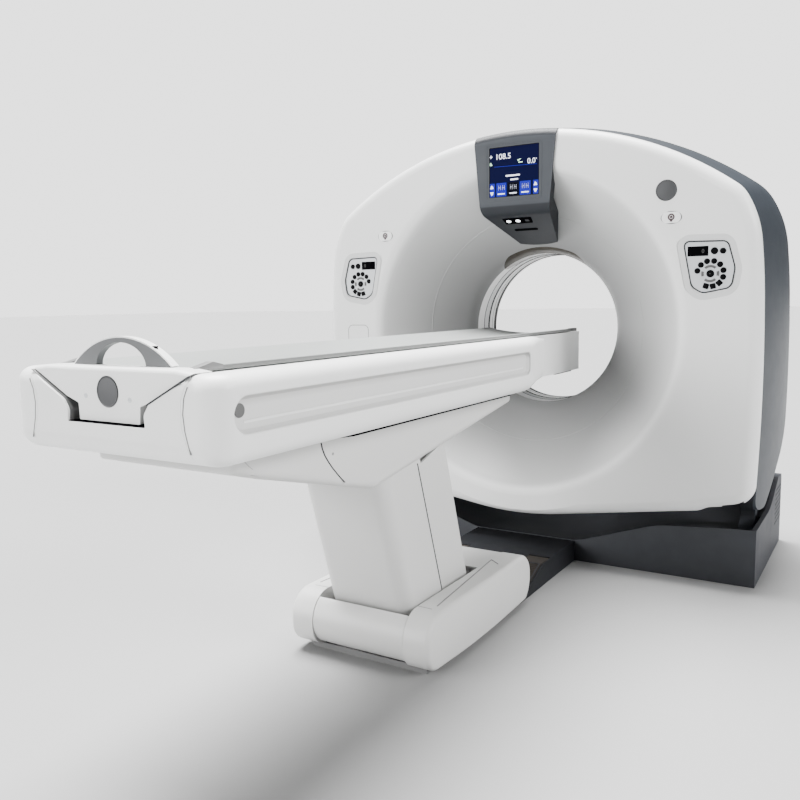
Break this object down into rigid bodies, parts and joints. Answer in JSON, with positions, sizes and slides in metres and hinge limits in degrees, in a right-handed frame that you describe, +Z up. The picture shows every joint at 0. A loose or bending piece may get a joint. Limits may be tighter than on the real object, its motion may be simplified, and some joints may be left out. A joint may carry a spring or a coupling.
{
  "type": "ct scanner",
  "caption": "Computed-tomography scanner: ring-shaped gantry that tilts on a floor plinth, and a patient table with sliding cradle and parallel lifting arms.",
  "frame": {"origin": "on the floor, straight below the centre of the scanner's bore", "axes": "+X to the right seen from the table, +Y from the table towards the gantry's rear along the bore, +Z up"},
  "size_m": [2.0946, 3.077, 1.9348],
  "materials": {
    "cover_white": "satin gloss",
    "band_grey": "satin",
    "plinth_dark": "fine matte",
    "dock_dark": "matte",
    "frame_steel": "satin",
    "cast_grey": "matte",
    "shaft_steel": "ground",
    "alloy": "machined",
    "housing_grey": "satin",
    "screen_glass": "gloss",
    "window_smoke": "gloss",
    "scan_black": "matte",
    "plate_grey": "satin",
    "pedal_rubber": "matte",
    "belt_rubber": "matte",
    "key_grey": "matte",
    "mat_light": "matte",
    "lamp_amber": "gloss",
    "cradle_shell": "satin",
    "handle_grey": "satin",
    "button_black": "matte",
    "copper": "satin"
  },
  "bodies": {
    "stand": {"plinth_cover": "plinth_dark", "base_frame": "frame_steel", "upright_left": "cast_grey", "upright_right": "cast_grey", "tilt_gearbox": "cast_grey", "dock_cover": "dock_dark", "table_base_plate": "plate_grey", "base_cover_left": "cover_white", "base_cover_right": "cover_white", "base_deck_cover": "cover_white", "lower_pivot_shafts": "shaft_steel", "lift_gearmotor": "copper"},
    "pedal_left": {"foot_pedal_left": "pedal_rubber"},
    "pedal_right": {"foot_pedal_right": "pedal_rubber"},
    "gantry": {"front_cover": "cover_white", "side_band": "band_grey", "rear_cover": "cover_white", "bore_liner": "cover_white", "scan_window": "scan_black", "laser_window": "window_smoke", "console_housing": "housing_grey", "console_screen": "screen_glass", "tilt_frame": "frame_steel", "bearing_outer_race": "shaft_steel", "drive_motor": "copper", "drive_belt": "belt_rubber", "keypad_bezel_left": "key_grey", "keypad_bezel_right": "key_grey", "key_mat_left": "mat_light", "key_mat_right": "mat_light", "indicator_lamps": "lamp_amber", "brush_block": "scan_black"},
    "rotor": {"rotor_disc": "alloy", "x_ray_tube": "copper", "collimator": "alloy", "detector": "alloy", "generator": "alloy", "slip_ring": "scan_black"},
    "pulley": {"drive_pulley": "shaft_steel"},
    "front_arm": {"front_arm": "cover_white", "front_roll_cover": "cover_white"},
    "rear_arm": {"rear_arm": "cover_white"},
    "table": {"table_chassis": "frame_steel", "upper_pivot_shafts": "shaft_steel", "saddle_cover_front": "cover_white", "saddle_cover_rear": "cover_white", "table_cover_left": "cover_white", "table_cover_right": "cover_white", "foot_cover": "cover_white"},
    "nose": {"support_nose": "cover_white"},
    "cradle": {"cradle": "cradle_shell", "cradle_end_block": "cover_white", "cradle_handle": "handle_grey"},
    "release": {"release_button": "button_black"},
    "stop_key_left": {"stop_key_left": "key_grey"},
    "lamp_key_left": {"lamp_key_left": "key_grey"},
    "centre_key_left": {"centre_key_left": "key_grey"},
    "stop_key_right": {"stop_key_right": "key_grey"},
    "lamp_key_right": {"lamp_key_right": "key_grey"},
    "centre_key_right": {"centre_key_right": "key_grey"}
  },
  "joints": [
    {"name": "gantry_tilt", "type": "hinge", "parent": "stand", "child": "gantry", "pos_m": [0, 0, 1.036], "axis": [-1, 0, 0], "range_deg": [-30, 30]},
    {"name": "rotor_spin", "type": "hinge", "parent": "gantry", "child": "rotor", "pos_m": [0, 0.1, 1.036], "axis": [0, 1, 0], "continuous": true},
    {"name": "pulley_spin", "type": "hinge", "parent": "gantry", "child": "pulley", "pos_m": [-0.77, 0.074, 0.545], "axis": [0, 1, 0], "continuous": true},
    {"name": "table_lift", "type": "hinge", "parent": "stand", "child": "front_arm", "pos_m": [0, -1.632, 0.114], "axis": [-1, 0, 0], "range_deg": [-50, 0]},
    {"name": "rear_arm_swing", "type": "hinge", "parent": "stand", "child": "rear_arm", "pos_m": [0, -1.299, 0.114], "axis": [-1, 0, 0], "range_deg": [-50, 0]},
    {"name": "table_level", "type": "hinge", "parent": "front_arm", "child": "table", "pos_m": [0, -1.82552, 0.72404], "axis": [-1, 0, 0], "range_deg": [0, 50]},
    {"name": "cradle_slide", "type": "slide", "parent": "table", "child": "cradle", "axis": [0, 1, 0], "range_m": [0, 1.7]},
    {"name": "nose_slide", "type": "slide", "parent": "table", "child": "nose", "axis": [0, 1, 0], "range_m": [0, 0.3]},
    {"name": "release_button_press", "type": "slide", "parent": "cradle", "child": "release", "axis": [0, 0, -1], "range_m": [0, 0.004], "stiffness_N_per_m": 400},
    {"name": "pedal_left_press", "type": "hinge", "parent": "stand", "child": "pedal_left", "pos_m": [-0.186, -0.628, 0.082], "axis": [1, 0, 0], "range_deg": [0, 5], "stiffness_Nm_per_rad": 30, "springref_deg": -2.86},
    {"name": "stop_key_left_press", "type": "slide", "parent": "gantry", "child": "stop_key_left", "axis": [0, 1, 0], "range_m": [0, 0.002], "stiffness_N_per_m": 500},
    {"name": "lamp_key_left_press", "type": "slide", "parent": "gantry", "child": "lamp_key_left", "axis": [0, 1, 0], "range_m": [0, 0.002], "stiffness_N_per_m": 500},
    {"name": "centre_key_left_press", "type": "slide", "parent": "gantry", "child": "centre_key_left", "axis": [0, 1, 0], "range_m": [0, 0.002], "stiffness_N_per_m": 500},
    {"name": "pedal_right_press", "type": "hinge", "parent": "stand", "child": "pedal_right", "pos_m": [0.186, -0.628, 0.082], "axis": [1, 0, 0], "range_deg": [0, 5], "stiffness_Nm_per_rad": 30, "springref_deg": -2.86},
    {"name": "stop_key_right_press", "type": "slide", "parent": "gantry", "child": "stop_key_right", "axis": [0, 1, 0], "range_m": [0, 0.002], "stiffness_N_per_m": 500},
    {"name": "lamp_key_right_press", "type": "slide", "parent": "gantry", "child": "lamp_key_right", "axis": [0, 1, 0], "range_m": [0, 0.002], "stiffness_N_per_m": 500},
    {"name": "centre_key_right_press", "type": "slide", "parent": "gantry", "child": "centre_key_right", "axis": [0, 1, 0], "range_m": [0, 0.002], "stiffness_N_per_m": 500}
  ],
  "couplings": [
    {"joint": "pulley_spin", "follows": "rotor_spin", "ratio": 12.833},
    {"joint": "rear_arm_swing", "follows": "table_lift", "ratio": 1},
    {"joint": "table_level", "follows": "table_lift", "ratio": -1},
    {"joint": "nose_slide", "follows": "cradle_slide", "ratio": 0.17647}
  ]
}
